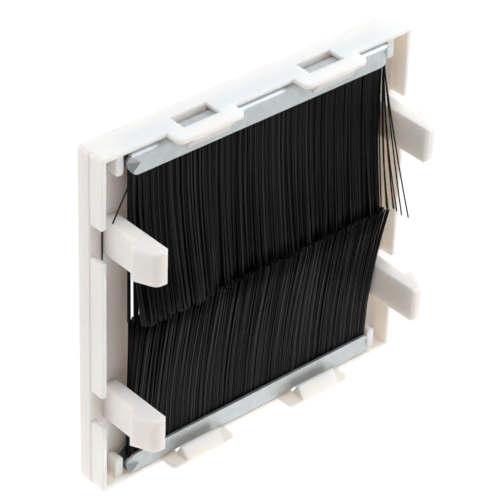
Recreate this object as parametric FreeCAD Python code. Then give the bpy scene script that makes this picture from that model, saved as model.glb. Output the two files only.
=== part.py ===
import FreeCAD, Part
import math
import os

# Brush cable grommet: a square snap-in module whose aperture is closed by two facing strip brushes.
# X runs across the module, Y from the front face to the rear, Z up. All sizes are in millimetres.
# The shapes are drawn with the front face at Y = 0 and then centred on their depth.
# Each strip, tab and post is drawn at the bottom edge and flipped for the top one.

Vector = FreeCAD.Vector
TINY = 1e-6

# Bezel plate and the rim behind it
MODULE_W = 50.0
MODULE_H = 50.0
BEZEL_T = 2.4
RIM_H = 2.4
SIDE_WALL = 0.8
CAP_WALL = 0.65
SIDE_STEP = 0.08
CORNER_R = 0.5
FRONT_R = 0.5
MOUTH_R = 0.4
RIM_CHAMFER = 0.12

# Bezel that shows in the aperture past the clip arms and past the strips
SIDE_SHOULDER = 2.0
CAP_SHOULDER = 2.1

# Clip arms that hold the module in a face plate
ARM_PITCH = 25.0
ARM_H = 5.0
ARM_T = 2.0
ARM_INSET = 2.0
ARM_TIP_T = 1.7
PLATE_GRIP = 4.0
CLIP_L = 3.7
CATCH_FLAT = 0.55
NOSE_R = 0.6
ARM_TIP_R = 1.5
ARM_CHAMFER = 0.3

# Strip brush: core wire, filaments folded round it, and the folded steel channel that grips them
WIRE_D = 0.9
WIRE_INSET = 1.0
FOLD_T = 0.45
SHEET_T = 0.4
GRIP_L = 1.45
BACK_FLAT = 0.8
SHEAR_R = 1.0
LIP_R = 1.3
STRIP_END = 0.35

# Pinch at mid-height in the rear side of each channel end, which locks the filaments in
CRIMP_L = 1.5
CRIMP_H = 3.0
CRIMP_DEPTH = 0.7

# Clearances: pack to arm, strip to wall, strip to post, strip to hook, filaments to steel, tips to tips
ARM_GAP = 0.6
SEAT_GAP = 0.05
END_GAP = 0.45
HOOK_GAP = 0.05
FILL_GAP = 0.02
TIP_GAP = 0.12

# Filament packs: tufts side by side, bowed to the rear where the two packs press on each other
TUFT_PITCH = 0.9
TUFT_RIDGE = 0.17
UPPER_BOW = 1.75
LOWER_BOW = 2.4
FRONT_BOW_SHARE = 0.35
BOW_STATIONS = (0.0, 0.3, 0.55, 0.8)

# Loose end of the upper pack: it leans further near there, and its front filaments as far as its rear ones
UPPER_SPLAY = 1.3
SPLAY_FROM_END = 5.5
SPLAY_REACH = 9.0
LOOSE_END = 4.5

# Tips: cut on a slant so that the packs lap
TIP_SLANT = 0.3
TIP_SETBACK = 1.0

# Unevenness from tuft to tuft in width, lean and length, each by a quick and a slow wave along the pack
UNEVEN_WIDTH = 0.3
UNEVEN_LEAN = 0.4
UNEVEN_TIP = 0.35
WIDTH_WAVES = (1.7, 0.53)
LEAN_WAVES = (2.1, 0.37)
TIP_WAVES = (2.4, 0.7)
UPPER_PHASE = 17

# Windowed snap tabs that hold the strips
TAB_PITCH = 20.0
TAB_W = 10.4
TAB_CORNER_R = 1.0
TAB_CHAMFER = 0.15
WINDOW_W = 5.7
HOOK_W = 6.2
HOOK_L = 2.2
HOOK_LEAN = 1.0
HOOK_RISE = 1.9
HOOK_TIP_R = 0.25

# Corner posts that locate the ends of the strips
POST_T = 1.15
POST_REACH = 3.65
POST_H = 1.8
POST_TIP_R = 0.35

# Places worked out from the sizes above: depths from the front face, heights from the bottom face
RIM_DEPTH = BEZEL_T + RIM_H
CATCH_DEPTH = RIM_DEPTH + PLATE_GRIP
ARM_DEPTH = CATCH_DEPTH + CLIP_L
CHANNEL_W = WIRE_D + 2 * (FOLD_T + SHEET_T)
STRIP_REAR = BEZEL_T + CHANNEL_W
STRIP_BACK = CAP_WALL + SEAT_GAP
WIRE_Z = STRIP_BACK + SHEET_T + FOLD_T + WIRE_D / 2
STRIP_LIP = WIRE_Z + WIRE_D / 2 + GRIP_L
HOOK_FOOT = STRIP_REAR + HOOK_GAP
TAB_DEPTH = HOOK_FOOT + HOOK_L
TIP_Z = (MODULE_H - TIP_GAP) / 2
ARM_HEIGHTS = (MODULE_H / 2 - ARM_PITCH / 2, MODULE_H / 2 + ARM_PITCH / 2)

# Lengths worked out from the sizes above
ARM_ROOT = ARM_INSET + ARM_T
APERTURE_W = MODULE_W - 2 * (ARM_ROOT + SIDE_SHOULDER)
APERTURE_H = MODULE_H - 2 * (STRIP_LIP + CAP_SHOULDER)
PACK_L = MODULE_W - 2 * (ARM_ROOT + ARM_GAP)
STRIP_L = PACK_L + 2 * STRIP_END


def block(x, y, z):
    """Box between the two values of each pair."""
    return Part.makeBox(x[1] - x[0], y[1] - y[0], z[1] - z[0], Vector(x[0], y[0], z[0]))


def across(half):
    """Pair of values the same distance either side of zero."""
    return (-half, half)


def edges_where(shape, test):
    """Edges whose ends all pass a test."""
    return [e for e in shape.Edges if all(test(v.Point) for v in e.Vertexes)]


def edges_along(shape, direction, test):
    """Straight edges that run along a direction and whose ends pass a test."""
    picked = []
    for edge in edges_where(shape, test):
        run = edge.Vertexes[-1].Point.sub(edge.Vertexes[0].Point)
        if run.Length > TINY and run.cross(direction).Length < TINY:
            picked.append(edge)
    return picked


def polygon_face(points):
    """Flat face inside a closed polygon."""
    return Part.Face(Part.makePolygon(points + [points[0]]))


def curve_face(outline):
    """Flat face inside a closed outline of lines and arcs."""
    return Part.Face(Part.Wire([piece.toShape() for piece in outline]))


def flip(shape):
    """The same shape at the top edge."""
    return shape.mirror(Vector(0, 0, MODULE_H / 2), Vector(0, 0, 1))


def swap_side(shape):
    """The same shape on the other side."""
    return shape.mirror(Vector(0, 0, 0), Vector(1, 0, 0))


def at_both_ends(shape):
    """The shape at the +X end and the same at the other end."""
    return [shape, swap_side(shape)]


def slab(width, y):
    """Full-height block with rounded corners between two depths."""
    body = block(across(width / 2), y, (0, MODULE_H))
    return body.makeFillet(CORNER_R, edges_along(body, Vector(0, 1, 0), lambda p: True))


def bezel():
    """Front plate with softened front edges round its outside and its aperture."""
    plate = slab(MODULE_W, (0, BEZEL_T))
    plate = plate.makeFillet(FRONT_R, edges_where(plate, lambda p: p.y < TINY))
    low = (MODULE_H - APERTURE_H) / 2
    hole = block(across(APERTURE_W / 2), (0, BEZEL_T), (low, MODULE_H - low))
    plate = plate.cut(hole)
    mouth = edges_where(plate, lambda p: p.y < TINY and hole.isInside(p, TINY, True))
    return plate.makeFillet(MOUTH_R, mouth)


def rim():
    """Walls behind the bezel, open beside each clip arm."""
    depth = (BEZEL_T, RIM_DEPTH)
    ring = slab(MODULE_W - 2 * SIDE_STEP, depth)
    inside = block(across(MODULE_W / 2 - SIDE_WALL), depth, (CAP_WALL, MODULE_H - CAP_WALL))
    ring = ring.cut(inside)
    for middle in ARM_HEIGHTS:
        notch = block(across(MODULE_W / 2), depth, (middle - ARM_H / 2, middle + ARM_H / 2))
        ring = ring.cut(notch)
    return ring.makeChamfer(RIM_CHAMFER, edges_where(ring, lambda p: p.y > RIM_DEPTH - TINY))


def tab_plate(x):
    """Flat of a tab on the bottom wall, with round rear corners and a chamfered outer edge."""
    plate = block((x - TAB_W / 2, x + TAB_W / 2), (BEZEL_T, TAB_DEPTH), (0, CAP_WALL))
    rear = edges_along(plate, Vector(0, 0, 1), lambda p: p.y > TAB_DEPTH - TINY)
    plate = plate.makeFillet(TAB_CORNER_R, rear)
    outer = edges_where(plate, lambda p: p.z < TINY)
    front = edges_where(plate, lambda p: p.y < BEZEL_T + TINY)
    soft = [e for e in outer if not any(e.isSame(f) for f in front)]
    return plate.makeChamfer(TAB_CHAMFER, soft)


def tab_hook(x):
    """Wedge on a tab that traps the strip, with a leaning catch, a round tip and a ramp."""
    start = x - HOOK_W / 2
    foot = CAP_WALL / 2
    top = CAP_WALL + HOOK_RISE
    wedge = polygon_face([
        Vector(start, HOOK_FOOT, foot),
        Vector(start, HOOK_FOOT, CAP_WALL),
        Vector(start, HOOK_FOOT + HOOK_LEAN, top),
        Vector(start, TAB_DEPTH, CAP_WALL),
        Vector(start, TAB_DEPTH, foot),
    ]).extrude(Vector(HOOK_W, 0, 0))
    return wedge.makeFillet(HOOK_TIP_R, edges_along(wedge, Vector(1, 0, 0), lambda p: p.z > top - TINY))


def tab_window(x):
    """Opening through the bottom wall in front of a tab's hook."""
    return block((x - WINDOW_W / 2, x + WINDOW_W / 2), (BEZEL_T, HOOK_FOOT), (0, CAP_WALL))


def clip_arm(middle):
    """Springy arm on the +X side, with a square catch, a round nose and a ramp to its round tip."""
    outer = MODULE_W / 2 - ARM_INSET
    inner = outer - ARM_T
    nose = outer + CATCH_FLAT + NOSE_R
    low = middle - ARM_H / 2
    slant = NOSE_R * (1 - math.sqrt(0.5))

    def at(x, y):
        return Vector(x, y, low)

    nose_side = at(nose, CATCH_DEPTH + NOSE_R)
    tip = at(inner + ARM_TIP_T, ARM_DEPTH)
    outline = [
        Part.LineSegment(at(inner, BEZEL_T), at(outer, BEZEL_T)),
        Part.LineSegment(at(outer, BEZEL_T), at(outer, CATCH_DEPTH)),
        Part.LineSegment(at(outer, CATCH_DEPTH), at(nose - NOSE_R, CATCH_DEPTH)),
        Part.Arc(at(nose - NOSE_R, CATCH_DEPTH), at(nose - slant, CATCH_DEPTH + slant), nose_side),
        Part.LineSegment(nose_side, tip),
        Part.LineSegment(tip, at(inner, ARM_DEPTH)),
        Part.LineSegment(at(inner, ARM_DEPTH), at(inner, BEZEL_T)),
    ]
    up = Vector(0, 0, 1)
    arm = curve_face(outline).extrude(up * ARM_H)
    end = edges_along(arm, up, lambda p: p.y > ARM_DEPTH - TINY)
    arm = arm.makeFillet(ARM_TIP_R, [e for e in end if e.Vertexes[0].X > inner + TINY])
    soft = edges_along(arm, up, lambda p: p.x < inner + TINY and p.y > ARM_DEPTH - TINY)
    for z in (low, low + ARM_H):
        soft += edges_where(arm, lambda p: p.y > CATCH_DEPTH + TINY and abs(p.z - z) < TINY)
    return arm.makeChamfer(ARM_CHAMFER, soft)


def corner_post():
    """Post on the +X end of the bottom wall, round at its free end."""
    near = STRIP_L / 2 + END_GAP
    post = block((near, near + POST_T), (BEZEL_T, BEZEL_T + POST_H), (CAP_WALL / 2, POST_REACH))
    free = edges_along(post, Vector(0, 1, 0), lambda p: p.z > POST_REACH - TINY)
    return post.makeFillet(POST_TIP_R, free)


def frame():
    """The whole moulding as one piece."""
    low = at_both_ends(corner_post())
    windows = []
    for x in across(TAB_PITCH / 2):
        low += [tab_plate(x), tab_hook(x)]
        windows += [tab_window(x), flip(tab_window(x))]
    arms = [clip_arm(middle) for middle in ARM_HEIGHTS]
    pieces = [rim()] + low + [flip(piece) for piece in low]
    pieces += arms + [swap_side(arm) for arm in arms]
    return bezel().multiFuse(pieces).cut(windows).removeSplitter()


def strip_solid(inset, length):
    """Lower strip's section, round at its back and inset from the channel's outside, along its length."""
    front = BEZEL_T + inset
    rear = STRIP_REAR - inset
    back = STRIP_BACK + inset
    radius = (CHANNEL_W - BACK_FLAT) / 2 - inset
    slant = radius * (1 - math.sqrt(0.5))

    def at(y, z):
        return Vector(-length / 2, y, z)

    outline = [
        Part.LineSegment(at(rear, STRIP_LIP), at(front, STRIP_LIP)),
        Part.LineSegment(at(front, STRIP_LIP), at(front, back + radius)),
        Part.Arc(at(front, back + radius), at(front + slant, back + slant), at(front + radius, back)),
        Part.LineSegment(at(front + radius, back), at(rear - radius, back)),
        Part.Arc(at(rear - radius, back), at(rear - slant, back + slant), at(rear, back + radius)),
        Part.LineSegment(at(rear, back + radius), at(rear, STRIP_LIP)),
    ]
    return curve_face(outline).extrude(Vector(length, 0, 0))


def crimp(inset):
    """Hollow of the pinch at the lower strip's +X end, inset from the channel's outside."""
    base = STRIP_L / 2 + CRIMP_L  # as far past the end as the tip is short of it
    rear = STRIP_REAR - inset
    middle = (STRIP_BACK + STRIP_LIP) / 2
    tip = Vector(STRIP_L / 2 - CRIMP_L, rear, middle)
    low = Vector(base, rear, middle - CRIMP_H)
    high = Vector(base, rear, middle + CRIMP_H)
    deep = Vector(base, rear - 2 * CRIMP_DEPTH, middle)
    sides = [[tip, low, high], [tip, high, deep], [tip, deep, low], [low, deep, high]]
    return Part.makeSolid(Part.makeShell([polygon_face(side) for side in sides]))


def channel():
    """Lower steel channel: folded sheet, open towards the brush, with pinched ends and sheared corners."""
    trim = block(across(STRIP_L / 2), (BEZEL_T, STRIP_REAR), (STRIP_BACK, STRIP_LIP))
    back = edges_along(trim, Vector(0, 1, 0), lambda p: p.z < STRIP_BACK + TINY)
    trim = trim.makeFillet(SHEAR_R, back)
    lip = edges_along(trim, Vector(0, 1, 0), lambda p: p.z > STRIP_LIP - TINY)
    trim = trim.makeFillet(LIP_R, lip)
    sheet = strip_solid(0, STRIP_L).cut(strip_solid(SHEET_T, STRIP_L))
    sheet = sheet.multiFuse(at_both_ends(crimp(SHEET_T))).cut(at_both_ends(crimp(0)))
    return sheet.common(trim).removeSplitter()


def core_bar(diameter, length):
    """Round bar along the core of the lower strip."""
    start = Vector(-length / 2, (BEZEL_T + STRIP_REAR) / 2, WIRE_Z)
    return Part.makeCylinder(diameter / 2, length, start, Vector(1, 0, 0))


def core_wire():
    """Lower core wire, cut a little short of its channel."""
    return core_bar(WIRE_D, STRIP_L - 2 * WIRE_INSET)


def solid_between(sections):
    """Solid with flat faces through a row of like polygons, each side parallel to its neighbours' sides."""
    faces = [polygon_face(sections[0]), polygon_face(sections[-1])]
    for low, high in zip(sections, sections[1:]):
        for i in range(len(low)):
            j = (i + 1) % len(low)
            faces.append(polygon_face([low[i], low[j], high[j], high[i]]))
    return Part.makeSolid(Part.makeShell(faces))


def wave(i, rates):
    """Unevenness of one tuft, from -1 to 1: the sum of a quick and a slow wave along the pack."""
    quick, slow = rates
    return (math.sin(quick * i) + math.cos(slow * i)) / 2


def hill(x, from_end, reach):
    """Swell near one end of a pack: 1 at its middle and 0 beyond its reach."""
    away = (PACK_L / 2 - x - from_end) / reach
    return max(0.0, 1 - away * away) ** 2


def tuft(left, right, front_bow, rear_bow, tip, slant):
    """One tuft of filaments: a ridged section that bends to the rear, thickens and ends on a slant."""
    front = BEZEL_T + SHEET_T + FILL_GAP + TUFT_RIDGE
    rear = STRIP_REAR - SHEET_T - FILL_GAP - TUFT_RIDGE
    x = (left + right) / 2
    longest = (tip + abs(slant) * ARM_DEPTH - STRIP_LIP) / (TIP_Z - STRIP_LIP)
    sections = []
    for share in BOW_STATIONS + (longest,):
        bend = share * share * (3 - share) / 2
        z = STRIP_LIP + share * (TIP_Z - STRIP_LIP)
        y_front = front + front_bow * bend
        y_rear = rear + rear_bow * bend
        sections.append([
            Vector(left, y_front, z),
            Vector(x, y_front - TUFT_RIDGE, z),
            Vector(right, y_front, z),
            Vector(right, y_rear, z),
            Vector(x, y_rear + TUFT_RIDGE, z),
            Vector(left, y_rear, z),
        ])
    pivot = STRIP_REAR + TIP_SETBACK
    kept = polygon_face([
        Vector(left, 0, 0),
        Vector(left, ARM_DEPTH, 0),
        Vector(left, ARM_DEPTH, tip + slant * (ARM_DEPTH - pivot)),
        Vector(left, 0, tip - slant * pivot),
    ]).extrude(Vector(right - left, 0, 0))
    return solid_between(sections).common(kept)


def tuft_edges(phase):
    """Places along the pack where one tuft ends and the next begins."""
    count = round(PACK_L / TUFT_PITCH)
    inner = [i + UNEVEN_WIDTH * wave(i + phase, WIDTH_WAVES) for i in range(1, count)]
    return [(i / count - 0.5) * PACK_L for i in [0] + inner + [count]]


def bristles(bow, splay, slant, phase):
    """Lower filament pack: folded round the core wire inside the channel, with a row of tufts beyond it."""
    lining = SHEET_T + FILL_GAP
    hollows = [core_bar(WIRE_D + 2 * FILL_GAP, STRIP_L)] + at_both_ends(crimp(lining))
    root = strip_solid(lining, PACK_L).cut(hollows)
    edges = tuft_edges(phase)
    tufts = []
    for i, (left, right) in enumerate(zip(edges, edges[1:])):
        x = (left + right) / 2
        loose = hill(x, 0, LOOSE_END) if splay else 0
        lean = bow + UNEVEN_LEAN * wave(i + phase, LEAN_WAVES) + splay * hill(x, SPLAY_FROM_END, SPLAY_REACH)
        front_lean = lean * (FRONT_BOW_SHARE + (1 - FRONT_BOW_SHARE) * loose)
        tip = TIP_Z - UNEVEN_TIP * (1 + wave(i + phase, TIP_WAVES)) / 2
        tufts.append(tuft(left, right, front_lean, lean, tip, slant))
    return root.multiFuse(tufts).removeSplitter()


PARTS = {
    "frame": frame(),
    "lower_channel": channel(),
    "upper_channel": flip(channel()),
    "lower_core_wire": core_wire(),
    "upper_core_wire": flip(core_wire()),
    "lower_bristles": bristles(LOWER_BOW, 0, TIP_SLANT, 0),
    "upper_bristles": flip(bristles(UPPER_BOW, UPPER_SPLAY, -TIP_SLANT, UPPER_PHASE)),
}

os.makedirs("parts", exist_ok=True)
for name, shape in PARTS.items():
    shape.translated(Vector(0, -ARM_DEPTH / 2, 0)).exportStep("parts/" + name + ".step")
    print(name, len(shape.Solids), shape.isValid(), round(shape.Volume, 2))
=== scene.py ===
import math

import bpy
import numpy as np
from bpy.props import FloatProperty, FloatVectorProperty, IntProperty, PointerProperty
from mathutils import Matrix, Vector


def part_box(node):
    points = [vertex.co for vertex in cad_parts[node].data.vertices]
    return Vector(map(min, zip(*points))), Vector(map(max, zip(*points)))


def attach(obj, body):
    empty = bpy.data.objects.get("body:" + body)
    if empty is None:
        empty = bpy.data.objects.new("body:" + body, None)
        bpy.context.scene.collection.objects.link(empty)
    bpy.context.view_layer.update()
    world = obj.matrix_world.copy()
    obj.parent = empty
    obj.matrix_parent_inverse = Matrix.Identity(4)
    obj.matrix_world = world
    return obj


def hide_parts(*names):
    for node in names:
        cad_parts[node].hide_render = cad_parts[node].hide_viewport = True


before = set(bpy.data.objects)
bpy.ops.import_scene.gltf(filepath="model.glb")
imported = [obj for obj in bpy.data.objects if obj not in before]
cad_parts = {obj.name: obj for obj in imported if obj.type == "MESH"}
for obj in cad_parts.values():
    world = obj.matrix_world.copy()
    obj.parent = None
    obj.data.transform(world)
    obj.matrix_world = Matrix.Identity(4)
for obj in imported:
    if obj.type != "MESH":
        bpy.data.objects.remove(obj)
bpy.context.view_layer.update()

bl_info = {
    "name": "Brush cable grommet",
    "version": (1, 0, 0),
    "blender": (4, 5, 0),
    "location": "3D View > Sidebar > Grommet",
    "description": "Dresses a snap-in brush cable grommet with its filaments and finishes",
    "category": "Object",
}

MM = 0.001
BODY = "root"
# Mesh attribute of each strand's tone, partly its own random tone and partly painted sheen that lightens
# some strands into highlight streaks
TONE = "strand_tone"

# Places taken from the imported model, in millimetres, with the side and height of an upper clip arm
MODULE_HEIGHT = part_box("frame")[1].z / MM
CHANNEL_LOW, CHANNEL_HIGH = (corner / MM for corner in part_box("lower_channel"))
PACK_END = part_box("lower_bristles")[1].x / MM
LIP = CHANNEL_HIGH.z
ARM_SIDE = 23.0
ARM_LOW, ARM_TOP = 35.0, 40.0

# Waves that make the tufts uneven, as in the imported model: their quick and slow rates,
# and where the upper pack starts along them
WIDTH_WAVES = (1.7, 0.53)
LEAN_WAVES = (2.1, 0.37)
TIP_WAVES = (2.4, 0.7)
UPPER_PHASE = 17

# Strand roots: the step between rows as a share of the diameter, and how far a root strays
# from an even grid along the strip and in depth, as shares of the grid's steps
ROW_STEP = 0.9
ROOT_STRAY_ALONG = 0.22
ROOT_STRAY_DEEP = 0.25

# Heights along a strand, as shares of the way from the channel's lip to the tip
BEND = np.array([-0.07, 0.0, 0.24, 0.46, 0.66, 0.84, 1.0])

# Strand tips, in millimetres but for the share by which they close up on their tuft's middle:
# how far they stray along the strip, how far behind the channel the slanted cut crosses half height,
# and how far they lap past it
TIP_CLOSING = 0.25
TIP_STRAY = 0.12
TIP_SETBACK = 1.0
TIP_LAP = 0.2

# Tones, partly the strands' own random tone and partly painted sheen: the two shape values of the strands'
# beta spread, and the mean and swing of a tuft's share of it; the swing follows the tufts' lean, so tufts
# leaning further to the rear are painted lighter, a painted sheen as if they caught more of the light
TONE_SPREAD = (0.6, 3.6)
TUFT_TONE = 0.75
TUFT_SHEEN_SWING = 0.35

# Ends of the lower pack, left and right as seen from the rear, in millimetres: the length over which
# the front strands at the left stand up, how far that end slants, and the width of the last tuft
# at the right and how far its tips lean outwards
LOWER_UPRIGHT = 2.5
LOWER_END_SLANT = 0.7
LOWER_END_TUFT = 0.6
LOWER_END_LEAN = 0.85

# Ends of the upper pack, in millimetres: where the further lean near the loose left end is greatest and
# how far it reaches, the length over which front strands lean as the rear ones do, how much longer
# the strands are than the lower ones, and the bare length at the right end
SPLAY_FROM_END = 5.5
SPLAY_REACH = 9.0
LOOSE_END = 4.5
UPPER_LONGER = 0.3
UPPER_BARE_END = 0.25

# Bunches that hang straight at the loose end of the upper pack, each a slanted row of strands:
# where it starts and ends, from the pack's end, its share of the pack's lean, and how far its tips fan out
STRAIGHT_BUNCHES = ((-0.9, -0.6, 0.1, 0.08), (0.42, 0.7, 0.07, 0.03), (1.6, 1.72, 0.07, 0.03))
ROW_SLANT = 2.0

# Strands among the bunches, and up to this margin past the last one, lean further by this factor
BUNCH_MARGIN = 0.3
BUNCH_NEIGHBOUR_LEAN = 1.15

# Loose strands at the other end, in millimetres: how far their tips stand to the rear and outwards
STRAYS = ((2.0, 0.3), (2.2, 0.2), (2.58, 0.04), (3.01, 0.55), (3.2, 0.5), (3.9, 0.33), (5.29, -0.16),
          (6.66, -0.31))
STRAY_LENGTH = 21.5
# Their place on the strands' scale of tone and painted sheen, low so that they stay dark
STRAY_TONE = 0.15

# Their roots: behind the channel's middle, past the pack's end, inside the lip, and staggered
STRAY_SETBACK = 0.55
STRAY_PAST_END = 0.3
STRAY_HELD = 0.5
STAGGER_ALONG = 0.05
STAGGER_DEEP = 0.06

# Their sag towards the pack, what each unit of their reach to the rear takes off it, and its stagger
STRAY_SAG = 0.55
SAG_LOSS = 0.05
SAG_STAGGER = 0.12

# Two strands at the loose end: one runs from inside the pack's end, below the lip, to the top of the arm,
# and one hangs in the slot beside the arm and shows above and below it
CAUGHT_INSIDE = 0.2
CAUGHT_BELOW = 1.1
HANGING_ABOVE = 1.5
HANGING_BELOW = 1.0

# Softboxes: width, place and the height on the object that each points at, in metres
SOFTBOXES = {
    "key": (0.45, (0.10, 0.08, 0.52), 0.03),
    "side": (0.35, (0.43, -0.26, 0.2), 0.025),
    "rear": (0.25, (-0.36, 0.33, 0.2), 0.025),
    "front": (0.5, (-0.34, -0.38, 0.36), 0.025),
    "cross": (0.4, (-0.48, -0.12, 0.2), 0.025),
}
SOFTBOX_TINT = (0.97, 1.0, 1.03)

# Floor: radius in metres, number of sides, drop below the object,
# and the colours of its own light far off and under the object
FLOOR_REACH = 1.5
FLOOR_SIDES = 64
FLOOR_DROP = 0.05 * MM
GLOW_FAR = (0.38, 0.37, 0.36)
GLOW_NEAR = (0.6, 0.585, 0.57)

# Camera: the place that it turns about, and its shift to the right and up, in millimetres
CAMERA_PIVOT = (0, -2.25, 25)
CAMERA_SHIFT = (-0.433, 0.972)


class FilamentSettings(bpy.types.PropertyGroup):
    """Sizes of the filaments and of the way they lie."""
    diameter: FloatProperty(
        name="Diameter", description="Thickness of one filament", default=0.2 * MM, unit="LENGTH")
    sheet: FloatProperty(
        name="Channel sheet", description="Thickness of the channel's sheet, with the clearance inside it",
        default=0.42 * MM, unit="LENGTH")
    tuft_pitch: FloatProperty(
        name="Tuft pitch", description="Mean width of a tuft", default=0.9 * MM, unit="LENGTH")
    tuft_ridge: FloatProperty(
        name="Tuft ridge", description="How far a tuft's middle stands out of its sides",
        default=0.17 * MM, unit="LENGTH")
    lower_bow: FloatProperty(
        name="Lower bow", description="How far the lower tips lean to the rear",
        default=2.4 * MM, unit="LENGTH")
    upper_bow: FloatProperty(
        name="Upper bow", description="How far the upper tips lean to the rear",
        default=1.75 * MM, unit="LENGTH")
    upper_splay: FloatProperty(
        name="Upper splay", description="Further lean of the upper tips near their loose end",
        default=1.3 * MM, unit="LENGTH")
    front_share: FloatProperty(
        name="Front share", description="Lean of the front strands as a share of the rear ones' lean",
        default=0.35, min=0, max=1, subtype="FACTOR")
    tip_slant: FloatProperty(
        name="Tip slant", description="Rise of the cut tips for each unit of depth", default=0.3)
    uneven_width: FloatProperty(
        name="Uneven width", description="Spread of the tufts' widths as a share of their pitch",
        default=0.3)
    uneven_lean: FloatProperty(
        name="Uneven lean", description="Spread of the tufts' leans", default=0.4 * MM, unit="LENGTH")
    uneven_tip: FloatProperty(
        name="Uneven tips", description="Spread of the tufts' lengths", default=0.35 * MM, unit="LENGTH")
    ragged: FloatProperty(
        name="Ragged tips", description="Spread of the strands' lengths", default=0.2 * MM, unit="LENGTH")
    scatter: FloatProperty(
        name="Scatter", description="Spread of the strands' leans", default=0.11 * MM, unit="LENGTH")
    seed: IntProperty(
        name="Seed", description="Start of the random draws", default=7)


class FinishSettings(bpy.types.PropertyGroup):
    """Colours and gloss of the finishes."""
    plastic: FloatVectorProperty(
        name="Plastic", description="Colour of the white moulding", default=(0.81, 0.782, 0.757),
        size=3, min=0, max=1, subtype="COLOR")
    plastic_roughness: FloatProperty(
        name="Plastic roughness", description="Roughness of the moulding", default=0.38, min=0, max=1,
        subtype="FACTOR")
    zinc: FloatVectorProperty(
        name="Zinc", description="Colour of the galvanised channel", default=(0.48, 0.515, 0.525),
        size=3, min=0, max=1, subtype="COLOR")
    wire: FloatVectorProperty(
        name="Wire", description="Colour of the core wire", default=(0.34, 0.33, 0.32),
        size=3, min=0, max=1, subtype="COLOR")
    filament: FloatVectorProperty(
        name="Filament", description="Colour of the black filaments", default=(0.011, 0.0108, 0.0106),
        size=3, min=0, max=1, subtype="COLOR")


class StageSettings(bpy.types.PropertyGroup):
    """Camera, light and floor."""
    azimuth: FloatProperty(
        name="Azimuth", description="Way round the object that the camera stands",
        default=math.radians(137.76), subtype="ANGLE")
    elevation: FloatProperty(
        name="Elevation", description="Angle of the camera above the horizon",
        default=math.radians(34.92), subtype="ANGLE")
    roll: FloatProperty(
        name="Roll", description="Turn of the camera about its own axis",
        default=math.radians(2.077), subtype="ANGLE")
    distance: FloatProperty(
        name="Distance", description="Camera to the place that it turns about",
        default=326.8 * MM, unit="LENGTH")
    focal_length: FloatProperty(
        name="Focal length", description="Focal length of the lens", default=186.35, unit="CAMERA")
    sky: FloatProperty(
        name="Surround light", description="Strength of the even light all round", default=0.03)
    key: FloatProperty(
        name="Key light", description="Power of the softbox overhead", default=2.1, unit="POWER")
    side: FloatProperty(
        name="Side light", description="Power of the softbox beside the object", default=1.02, unit="POWER")
    rear: FloatProperty(
        name="Rear light", description="Power of the softbox behind the object", default=1.25, unit="POWER")
    front: FloatProperty(
        name="Front light", description="Power of the softbox before the object", default=0.8, unit="POWER")
    cross: FloatProperty(
        name="Cross light", description="Power of the softbox across from the side light",
        default=1.5, unit="POWER")
    floor_glow: FloatProperty(
        name="Floor glow", description="Light that the floor itself gives", default=2.1)
    glow_reach: FloatVectorProperty(
        name="Glow reach", description="Distances over which the floor's light falls to its far level",
        default=(90 * MM, 45 * MM, 100 * MM), size=3, subtype="XYZ_LENGTH")
    floor: FloatVectorProperty(
        name="Floor", description="Colour of the floor", default=(0.2, 0.2, 0.2),
        size=3, min=0, max=1, subtype="COLOR")


class GrommetSettings(bpy.types.PropertyGroup):
    """Everything a user would change."""
    filaments: PointerProperty(type=FilamentSettings)
    finishes: PointerProperty(type=FinishSettings)
    stage: PointerProperty(type=StageSettings)


class Field:
    """A shader socket that takes part in arithmetic."""

    def __init__(self, finish, socket):
        self.finish = finish
        self.socket = socket

    def math(self, operation, first, second):
        return self.finish.node("ShaderNodeMath", {"operation": operation}, {0: first, 1: second})

    def __add__(self, other):
        return self.math("ADD", self, other)

    def __radd__(self, other):
        return self.math("ADD", other, self)

    def __sub__(self, other):
        return self.math("SUBTRACT", self, other)

    def __rsub__(self, other):
        return self.math("SUBTRACT", other, self)

    def __mul__(self, other):
        return self.math("MULTIPLY", self, other)

    def __rmul__(self, other):
        return self.math("MULTIPLY", other, self)


class Finish:
    """A node material built round one principled shader."""

    def __init__(self, name):
        self.material = bpy.data.materials.new(name)
        self.material.use_nodes = True
        self.tree = self.material.node_tree
        self.shader = self.tree.nodes["Principled BSDF"]

    def node(self, kind, settings=None, inputs=None, output=0):
        """A node of any kind: its settings are set first, then its sockets are filled or linked."""
        made = self.tree.nodes.new(kind)
        for key, value in (settings or {}).items():
            setattr(made, key, value)
        for key, value in (inputs or {}).items():
            self.feed(made.inputs[key], value)
        return Field(self, made.outputs[output])

    def feed(self, socket, value):
        if isinstance(value, Field):
            self.tree.links.new(value.socket, socket)
        else:
            socket.default_value = value

    def surface(self, **values):
        """Values and links of the shader, by socket name with underscores for spaces."""
        for key, value in values.items():
            self.feed(self.shader.inputs[key.replace("_", " ")], value)
        return self.material

    def place(self, stretch=(1, 1, 1)):
        """Object coordinates, stretched along the axes."""
        coordinates = self.node("ShaderNodeTexCoord", output="Object")
        return self.node("ShaderNodeMapping", {}, {"Vector": coordinates, "Scale": stretch})

    def noise(self, scale, detail=2.0, stretch=(1, 1, 1)):
        """Soft noise from 0 to 1, in object coordinates."""
        return self.node("ShaderNodeTexNoise", {},
                         {"Vector": self.place(stretch), "Scale": scale, "Detail": detail})

    def mix(self, share, first, second):
        """Blend of two colours, whose sockets on the node share their names and so go by number."""
        return self.node("ShaderNodeMix", {"data_type": "RGBA"}, {0: share, 6: first, 7: second}, output=2)

    def bump(self, height, depth, normal=None):
        """Bump of a height field, depth in metres."""
        inputs = {"Height": height, "Distance": depth, "Strength": 1.0}
        if normal:
            inputs["Normal"] = normal
        return self.node("ShaderNodeBump", {}, inputs)


def colour(values, factor=1.0):
    """Colour with alpha, made lighter or darker."""
    return (*(min(1.0, v * factor) for v in values), 1.0)


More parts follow.
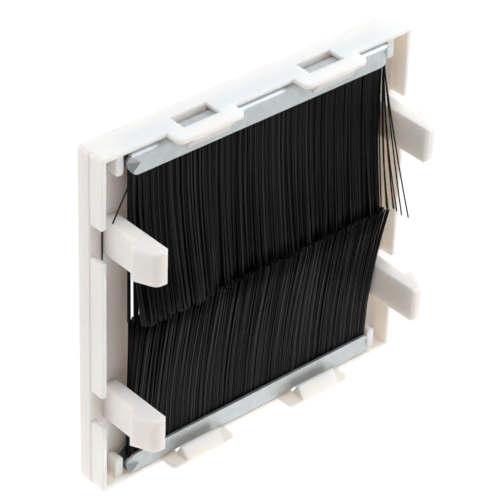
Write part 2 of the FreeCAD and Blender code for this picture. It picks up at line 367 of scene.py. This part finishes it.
def moulded_plastic(settings):
    """White moulding: satin skin with a very fine texture and softened edges."""
    finish = Finish("white_moulded_plastic")
    cloud = finish.noise(scale=160)
    grain = finish.noise(scale=9000, detail=3.0)
    soft_edge = finish.node("ShaderNodeBevel", {"samples": 8}, {"Radius": 0.4 * MM})
    tint = finish.mix(cloud, colour(settings.plastic, 0.985), colour(settings.plastic, 1.015))
    return finish.surface(
        Base_Color=tint,
        Roughness=settings.plastic_roughness + (cloud - 0.5) * 0.12,
        IOR=1.5,
        Subsurface_Weight=0.85,
        Subsurface_Radius=(1.0, 0.74, 0.56),
        Subsurface_Scale=2.0 * MM,
        Normal=finish.bump(grain, 0.0025 * MM, soft_edge))


def galvanised_steel(settings):
    """Zinc-coated strip: faint spangle, rolling marks along the strip and a satin sheen."""
    finish = Finish("zinc_coated_strip")
    spangle = finish.node("ShaderNodeTexVoronoi", {"feature": "F1"},
                          {"Vector": finish.place(), "Scale": 1100.0}, output="Color")
    spangle = finish.node("ShaderNodeSeparateColor", {}, {"Color": spangle})
    rolling = finish.noise(scale=1.0, stretch=(60, 7000, 7000))
    mottle = finish.noise(scale=900, detail=3.0)
    soft_edge = finish.node("ShaderNodeBevel", {"samples": 6}, {"Radius": 0.08 * MM})
    light = spangle * 0.35 + mottle * 0.4 + rolling * 0.25
    return finish.surface(
        Base_Color=finish.mix(light, colour(settings.zinc, 0.86), colour(settings.zinc, 1.16)),
        Metallic=0.72,
        Roughness=0.34 + mottle * 0.16,
        Normal=finish.bump(rolling * 0.6 + mottle * 0.4, 0.006 * MM, soft_edge))


def drawn_wire(settings):
    """Dull drawn wire with die lines along it."""
    finish = Finish("drawn_steel_wire")
    lines = finish.noise(scale=1.0, stretch=(90, 9000, 9000))
    return finish.surface(
        Base_Color=finish.mix(lines, colour(settings.wire, 0.8), colour(settings.wire, 1.2)),
        Metallic=0.9,
        Roughness=0.38 + lines * 0.2,
        Normal=finish.bump(lines, 0.006 * MM))


def black_filament(settings):
    """Extruded black filament: each strand's tone, partly its own random tone and partly painted sheen,
    makes it nearly black or grey, and its skin is faintly drawn along it.
    """
    finish = Finish("black_nylon_filament")
    tone = finish.node("ShaderNodeAttribute", {"attribute_name": TONE}, output="Fac")
    drawn = finish.noise(scale=1.0, stretch=(12000, 12000, 500))
    return finish.surface(
        # The lighter strands stand for highlight streaks: painted sheen in the base colour
        Base_Color=finish.mix(tone, colour(settings.filament, 0.15), colour(settings.filament, 4.0)),
        Roughness=0.34 + tone * 0.2,
        Specular_IOR_Level=0.12,
        Normal=finish.bump(drawn, 0.004 * MM))


def material(name, make):
    """The finish of that name, made once."""
    found = bpy.data.materials.get(name)
    return found or make(bpy.context.scene.grommet.finishes)


def dress_node(name, finish):
    """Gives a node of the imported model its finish."""
    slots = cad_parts[name].data.materials
    slots.clear()
    slots.append(finish)


def unit(vectors):
    """Vectors of length one."""
    return vectors / np.linalg.norm(vectors, axis=-1, keepdims=True)


def strand_rings(paths, radius, sides):
    """Rings of points round each path, in planes square to it."""
    run = unit(np.gradient(paths, axis=1))
    across = np.array([1.0, 0.0, 0.0]) - run * run[..., :1]
    across = unit(across)
    beside = np.cross(run, across)
    turn = np.arange(sides) * 2 * math.pi / sides
    ring = np.cos(turn)[:, None] * across[..., None, :] + np.sin(turn)[:, None] * beside[..., None, :]
    return paths[..., None, :] + radius * ring


def strand_piece(name, paths, tones_and_sheen, radius, sides=6):
    """One mesh of round strands along paths, in millimetres, each with its own tone, partly random tone and
    partly painted sheen.
    """
    count, stations = paths.shape[:2]
    points = strand_rings(paths, radius, sides).reshape(-1, 3) * MM
    index = np.arange(count * stations * sides).reshape(count, stations, sides)
    following = np.roll(index, -1, axis=2)
    walls = np.stack([index[:, :-1], following[:, :-1], following[:, 1:], index[:, 1:]], axis=-1)
    walls = walls.reshape(-1, 4).tolist()
    caps = index[:, 0, ::-1].tolist() + index[:, -1].tolist()
    mesh = bpy.data.meshes.new(name)
    mesh.from_pydata(points.tolist(), [], walls + caps)
    mesh.polygons.foreach_set("use_smooth", [True] * len(walls) + [False] * len(caps))
    tone = mesh.attributes.new(TONE, "FLOAT", "POINT")
    tone.data.foreach_set("value", np.repeat(tones_and_sheen, stations * sides).astype(np.float32))
    mesh.update()
    piece = bpy.data.objects.new(name, mesh)
    bpy.context.scene.collection.objects.link(piece)
    mesh.materials.append(material("black_nylon_filament", black_filament))
    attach(piece, BODY)
    return piece


def wave(number, rates):
    """Unevenness of tufts, from -1 to 1: the sum of a quick and a slow wave along the pack."""
    quick, slow = rates
    return (np.sin(quick * number) + np.cos(slow * number)) / 2


def hill(places, from_end, reach):
    """Swell near the loose end of a pack: 1 at its middle and 0 beyond its reach."""
    away = (PACK_END - places - from_end) / reach
    return np.clip(1 - away * away, 0, 1) ** 2


def tuft_edges(settings, phase):
    """Places along the pack where one tuft ends and the next begins."""
    count = round(2 * PACK_END * MM / settings.tuft_pitch)
    number = np.arange(count + 1)
    drift = settings.uneven_width * wave(number + phase, WIDTH_WAVES)
    drift[[0, -1]] = 0
    return (2 * (number + drift) / count - 1) * PACK_END


def strand_roots(draws, diameter, front, rear):
    """Where the strands leave the channel: places along the strip, and depths from 0 at the front to 1."""
    rows = round((rear - front) / (ROW_STEP * diameter))
    columns = round(2 * PACK_END / diameter)
    depth, along = np.meshgrid(np.arange(rows), np.arange(columns), indexing="ij")
    along = along + (depth % 2) / 2
    along = (along.ravel() + draws.normal(0, ROOT_STRAY_ALONG, along.size)) / columns
    depth = (depth.ravel() + draws.normal(0, ROOT_STRAY_DEEP, depth.size)) / (rows - 1)
    places = (2 * along - 1) * (PACK_END - diameter / 2)
    return np.clip(places, diameter / 2 - PACK_END, PACK_END - diameter / 2), np.clip(depth, 0, 1)


class Pack:
    """Strands of a lower filament pack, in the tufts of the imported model; lengths are in millimetres."""

    def __init__(self, settings, bow, slant, phase):
        self.settings = settings
        self.draws = np.random.default_rng(settings.seed + phase)
        self.diameter = settings.diameter / MM
        margin = (settings.sheet + settings.diameter / 2) / MM
        self.front = CHANNEL_LOW.y + margin
        self.rear = CHANNEL_HIGH.y - margin
        self.slant = slant
        self.places, self.depths = strand_roots(self.draws, self.diameter, self.front, self.rear)
        self.gather(phase)
        self.rear_lean = bow / MM + settings.uneven_lean / MM * wave(self.number + phase, LEAN_WAVES)
        self.front_share = np.full(self.count, settings.front_share)
        self.scatter = self.draws.normal(0, settings.scatter / MM, self.count)
        self.fan = TIP_CLOSING * (self.middles - self.places) + self.draws.normal(0, TIP_STRAY, self.count)
        self.drop = settings.uneven_tip / MM * (1 + wave(self.number + phase, TIP_WAVES)) / 2
        # Tones: a random spread for each strand, times a tuft share that swings with the tufts' lean, so
        # tufts leaning further to the rear are painted lighter, a painted sheen
        self.tones_and_sheen = self.draws.beta(*TONE_SPREAD, self.count)
        self.tones_and_sheen *= TUFT_TONE + TUFT_SHEEN_SWING * wave(self.number + phase, LEAN_WAVES)

    @property
    def count(self):
        return self.places.size

    def gather(self, phase):
        """Puts each strand in its tuft, whose sides are thinner than its middle."""
        edges = tuft_edges(self.settings, phase)
        self.number = np.clip(np.searchsorted(edges, self.places) - 1, 0, edges.size - 2)
        self.middles = (edges[self.number] + edges[self.number + 1]) / 2
        half = (edges[self.number + 1] - edges[self.number]) / 2
        side = np.abs(self.places - self.middles) / half
        thickness = 1 - 2 * self.settings.tuft_ridge / MM * side / (self.rear - self.front)
        self.depths = 0.5 + (self.depths - 0.5) * thickness

    def keep(self, mask):
        """Leaves out the other strands."""
        for name in ("places", "depths", "number", "middles", "rear_lean", "front_share", "scatter",
                     "fan", "drop", "tones_and_sheen"):
            setattr(self, name, getattr(self, name)[mask])

    def paths(self):
        """Paths from inside the channel to the tips: upright at the lip, then bent like a held rod."""
        lean = self.rear_lean * (self.front_share + (1 - self.front_share) * self.depths) + self.scatter
        root_y = self.front + self.depths * (self.rear - self.front)
        pivot = CHANNEL_HIGH.y + TIP_SETBACK
        short = self.draws.exponential(self.settings.ragged / MM, self.count)
        tips = MODULE_HEIGHT / 2 + self.slant * (root_y + lean - pivot) - self.drop + TIP_LAP - short
        share = np.clip(BEND, 0, None)
        bend = share ** 2 * (3 - share) / 2
        x = self.places[:, None] + self.fan[:, None] * bend
        y = root_y[:, None] + lean[:, None] * bend
        z = LIP + BEND * (tips[:, None] - LIP)
        return np.stack([x, y, z], axis=-1)


def flip(paths):
    """The same paths at the top edge."""
    return paths * np.array([1, 1, -1]) + np.array([0, 0, MODULE_HEIGHT])


class GROMMET_OT_moulding(bpy.types.Operator):
    """Finish the moulded frame in white plastic"""
    bl_idname = "grommet.moulding"
    bl_label = "Moulded frame"

    def execute(self, context):
        dress_node("frame", material("white_moulded_plastic", moulded_plastic))
        return {"FINISHED"}


class GROMMET_OT_channels(bpy.types.Operator):
    """Finish the folded channels in galvanised steel and the core wires in drawn steel"""
    bl_idname = "grommet.channels"
    bl_label = "Channels and wires"

    def execute(self, context):
        for edge in ("lower", "upper"):
            dress_node(edge + "_channel", material("zinc_coated_strip", galvanised_steel))
            dress_node(edge + "_core_wire", material("drawn_steel_wire", drawn_wire))
        return {"FINISHED"}


class GROMMET_OT_lower_filaments(bpy.types.Operator):
    """Make the lower pack of filaments"""
    bl_idname = "grommet.lower_filaments"
    bl_label = "Lower filaments"

    def execute(self, context):
        settings = context.scene.grommet.filaments
        pack = Pack(settings, settings.lower_bow, settings.tip_slant, 0)
        from_left = PACK_END - pack.places
        from_right = PACK_END + pack.places
        pack.front_share *= 1 - np.exp(-from_left / LOWER_UPRIGHT)
        pack.fan -= LOWER_END_LEAN * (from_right < LOWER_END_TUFT)
        pack.keep(from_left > LOWER_END_SLANT * (1 - pack.depths))
        piece = strand_piece("lower_filaments", pack.paths(), pack.tones_and_sheen, pack.diameter / 2)
        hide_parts("lower_bristles")
        return {"FINISHED"}


class GROMMET_OT_upper_filaments(bpy.types.Operator):
    """Make the upper pack of filaments, with its loose end"""
    bl_idname = "grommet.upper_filaments"
    bl_label = "Upper filaments"

    def execute(self, context):
        settings = context.scene.grommet.filaments
        pack = Pack(settings, settings.upper_bow, -settings.tip_slant, UPPER_PHASE)
        from_left = PACK_END - pack.places
        from_right = PACK_END + pack.places
        pack.rear_lean += settings.upper_splay / MM * hill(pack.places, SPLAY_FROM_END, SPLAY_REACH)
        pack.front_share += (1 - pack.front_share) * hill(pack.places, 0, LOOSE_END)
        pack.drop -= UPPER_LONGER
        row = from_left - ROW_SLANT * (1 - pack.depths)
        pack.rear_lean[row < STRAIGHT_BUNCHES[-1][1] + BUNCH_MARGIN] *= BUNCH_NEIGHBOUR_LEAN
        for start, end, lean, fan in STRAIGHT_BUNCHES:
            bunch = (row > start) & (row < end)
            pack.rear_lean[bunch] *= lean
            pack.fan[bunch] = np.abs(pack.draws.normal(0, fan, bunch.sum()))
        pack.keep((row > STRAIGHT_BUNCHES[0][0]) & (from_right > UPPER_BARE_END))
        piece = strand_piece("upper_filaments", flip(pack.paths()), pack.tones_and_sheen, pack.diameter / 2)
        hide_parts("upper_bristles")
        return {"FINISHED"}


def loose_path(start, end, sag=(0, 0, 0)):
    """Path of one loose strand between two places, bent aside in its middle."""
    share = np.linspace(0, 1, BEND.size)[:, None]
    return np.array(start) * (1 - share) + np.array(end) * share + 4 * share * (1 - share) * np.array(sag)


class GROMMET_OT_strays(bpy.types.Operator):
    """Make the few strands that have worked loose"""
    bl_idname = "grommet.strays"
    bl_label = "Loose strands"

    def execute(self, context):
        settings = context.scene.grommet.filaments
        radius = settings.diameter / MM / 2
        depth = (CHANNEL_LOW.y + CHANNEL_HIGH.y) / 2 + STRAY_SETBACK
        lip = MODULE_HEIGHT - LIP
        end = -PACK_END - STRAY_PAST_END
        held = lip + STRAY_HELD
        paths = []
        for number, (rear, out) in enumerate(STRAYS):
            drop = math.sqrt(STRAY_LENGTH ** 2 - rear ** 2 - out ** 2)
            root = (end + STAGGER_ALONG * (number % 3), depth - STAGGER_DEEP * (number % 2), held)
            tip = (end - out, depth + rear, held - drop)
            sag = STRAY_SAG - SAG_LOSS * rear + SAG_STAGGER * (number % 3 - 1)
            paths.append(loose_path(root, tip, (sag, 0, 0)))
        root = (PACK_END - CAUGHT_INSIDE, depth, lip - CAUGHT_BELOW)
        tip = (ARM_SIDE - radius, depth, ARM_TOP + radius)
        paths.append(loose_path(root, tip))
        side = ARM_SIDE + radius
        against = CHANNEL_LOW.y + radius
        root = (side, against, ARM_TOP + HANGING_ABOVE)
        tip = (side, against, ARM_LOW - HANGING_BELOW)
        paths.append(loose_path(root, tip))
        strand_piece("loose_filaments", np.array(paths), np.full(len(paths), STRAY_TONE), radius)
        return {"FINISHED"}


def softbox(name, power, width, place, aim):
    """Square soft light that points from its place to its aim."""
    data = bpy.data.lights.new(name, "AREA")
    data.energy = power
    data.size = width
    data.color = SOFTBOX_TINT
    light = bpy.data.objects.new(name, data)
    light.location = place
    light.rotation_euler = (Vector(aim) - Vector(place)).to_track_quat("-Z", "Y").to_euler()
    bpy.context.scene.collection.objects.link(light)


def floor_finish(settings):
    """Pale light table, brightest under the object."""
    finish = Finish("pale_floor")
    mottle = finish.noise(scale=40)
    near = finish.node("ShaderNodeTexGradient", {"gradient_type": "QUADRATIC_SPHERE"},
                       {"Vector": finish.place([1 / reach for reach in settings.glow_reach])})
    return finish.surface(
        Base_Color=finish.mix(mottle, colour(settings.floor, 0.995), colour(settings.floor)),
        Roughness=0.45,
        Emission_Color=finish.mix(near, colour(GLOW_FAR), colour(GLOW_NEAR)),
        Emission_Strength=settings.floor_glow)


def make_floor(settings):
    """Round floor under the object."""
    turns = np.linspace(0, 2 * math.pi, FLOOR_SIDES, False)
    corners = [(FLOOR_REACH * math.cos(turn), FLOOR_REACH * math.sin(turn), 0) for turn in turns]
    mesh = bpy.data.meshes.new("floor")
    mesh.from_pydata(corners, [], [list(range(len(corners)))])
    mesh.materials.append(floor_finish(settings))
    floor = bpy.data.objects.new("floor", mesh)
    floor.location.z = -FLOOR_DROP
    bpy.context.scene.collection.objects.link(floor)


def make_sky(strength):
    """Even white light all round."""
    world = bpy.data.worlds.new("studio")
    world.use_nodes = True
    backdrop = world.node_tree.nodes["Background"]
    backdrop.inputs["Color"].default_value = (1, 1, 1, 1)
    backdrop.inputs["Strength"].default_value = strength
    bpy.context.scene.world = world


def make_camera(settings):
    """Camera at the photograph's angle."""
    cos_e = math.cos(settings.elevation)
    back = Vector((math.sin(settings.azimuth) * cos_e, -math.cos(settings.azimuth) * cos_e,
                   math.sin(settings.elevation)))
    level = Vector((0, 0, 1)).cross(back).normalized()
    upright = back.cross(level)
    right = level * math.cos(settings.roll) + upright * math.sin(settings.roll)
    up = upright * math.cos(settings.roll) - level * math.sin(settings.roll)
    shift_right, shift_up = CAMERA_SHIFT
    place = Vector(CAMERA_PIVOT) * MM + back * settings.distance
    place += right * shift_right * MM + up * shift_up * MM
    data = bpy.data.cameras.new("camera")
    data.lens = settings.focal_length
    data.sensor_width = 36
    data.clip_start = 0.01
    camera = bpy.data.objects.new("camera", data)
    camera.matrix_world = Matrix.Translation(place) @ Matrix((right, up, back)).transposed().to_4x4()
    bpy.context.scene.collection.objects.link(camera)
    bpy.context.scene.camera = camera


class GROMMET_OT_stage(bpy.types.Operator):
    """Set the floor, the light and the camera"""
    bl_idname = "grommet.stage"
    bl_label = "Stage"

    def execute(self, context):
        settings = context.scene.grommet.stage
        make_floor(settings)
        make_sky(settings.sky)
        for name, (width, place, aim_height) in SOFTBOXES.items():
            softbox(name + "_light", getattr(settings, name), width, place, (0, 0, aim_height))
        make_camera(settings)
        context.scene.view_settings.view_transform = "Standard"
        return {"FINISHED"}


class GROMMET_PT_sidebar(bpy.types.Panel):
    """Sidebar with the grommet's steps and settings"""
    bl_idname = "GROMMET_PT_sidebar"
    bl_label = "Brush cable grommet"
    bl_space_type = "VIEW_3D"
    bl_region_type = "UI"
    bl_category = "Grommet"

    def draw(self, context):
        for step in STEPS:
            self.layout.operator(step.bl_idname)
        settings = context.scene.grommet
        for group in (settings.filaments, settings.finishes, settings.stage):
            box = self.layout.box()
            for name in group.__annotations__:
                box.prop(group, name)


STEPS = (
    GROMMET_OT_moulding,
    GROMMET_OT_channels,
    GROMMET_OT_lower_filaments,
    GROMMET_OT_upper_filaments,
    GROMMET_OT_strays,
    GROMMET_OT_stage,
)
CLASSES = (FilamentSettings, FinishSettings, StageSettings, GrommetSettings) + STEPS + (GROMMET_PT_sidebar,)


def register():
    for cls in CLASSES:
        bpy.utils.register_class(cls)
    bpy.types.Scene.grommet = PointerProperty(type=GrommetSettings)


def unregister():
    del bpy.types.Scene.grommet
    for cls in reversed(CLASSES):
        bpy.utils.unregister_class(cls)


def main():
    register()
    bpy.ops.grommet.moulding()
    bpy.ops.grommet.channels()
    bpy.ops.grommet.lower_filaments()
    bpy.ops.grommet.upper_filaments()
    bpy.ops.grommet.strays()
    bpy.ops.grommet.stage()


if __name__ == "__main__":
    main()
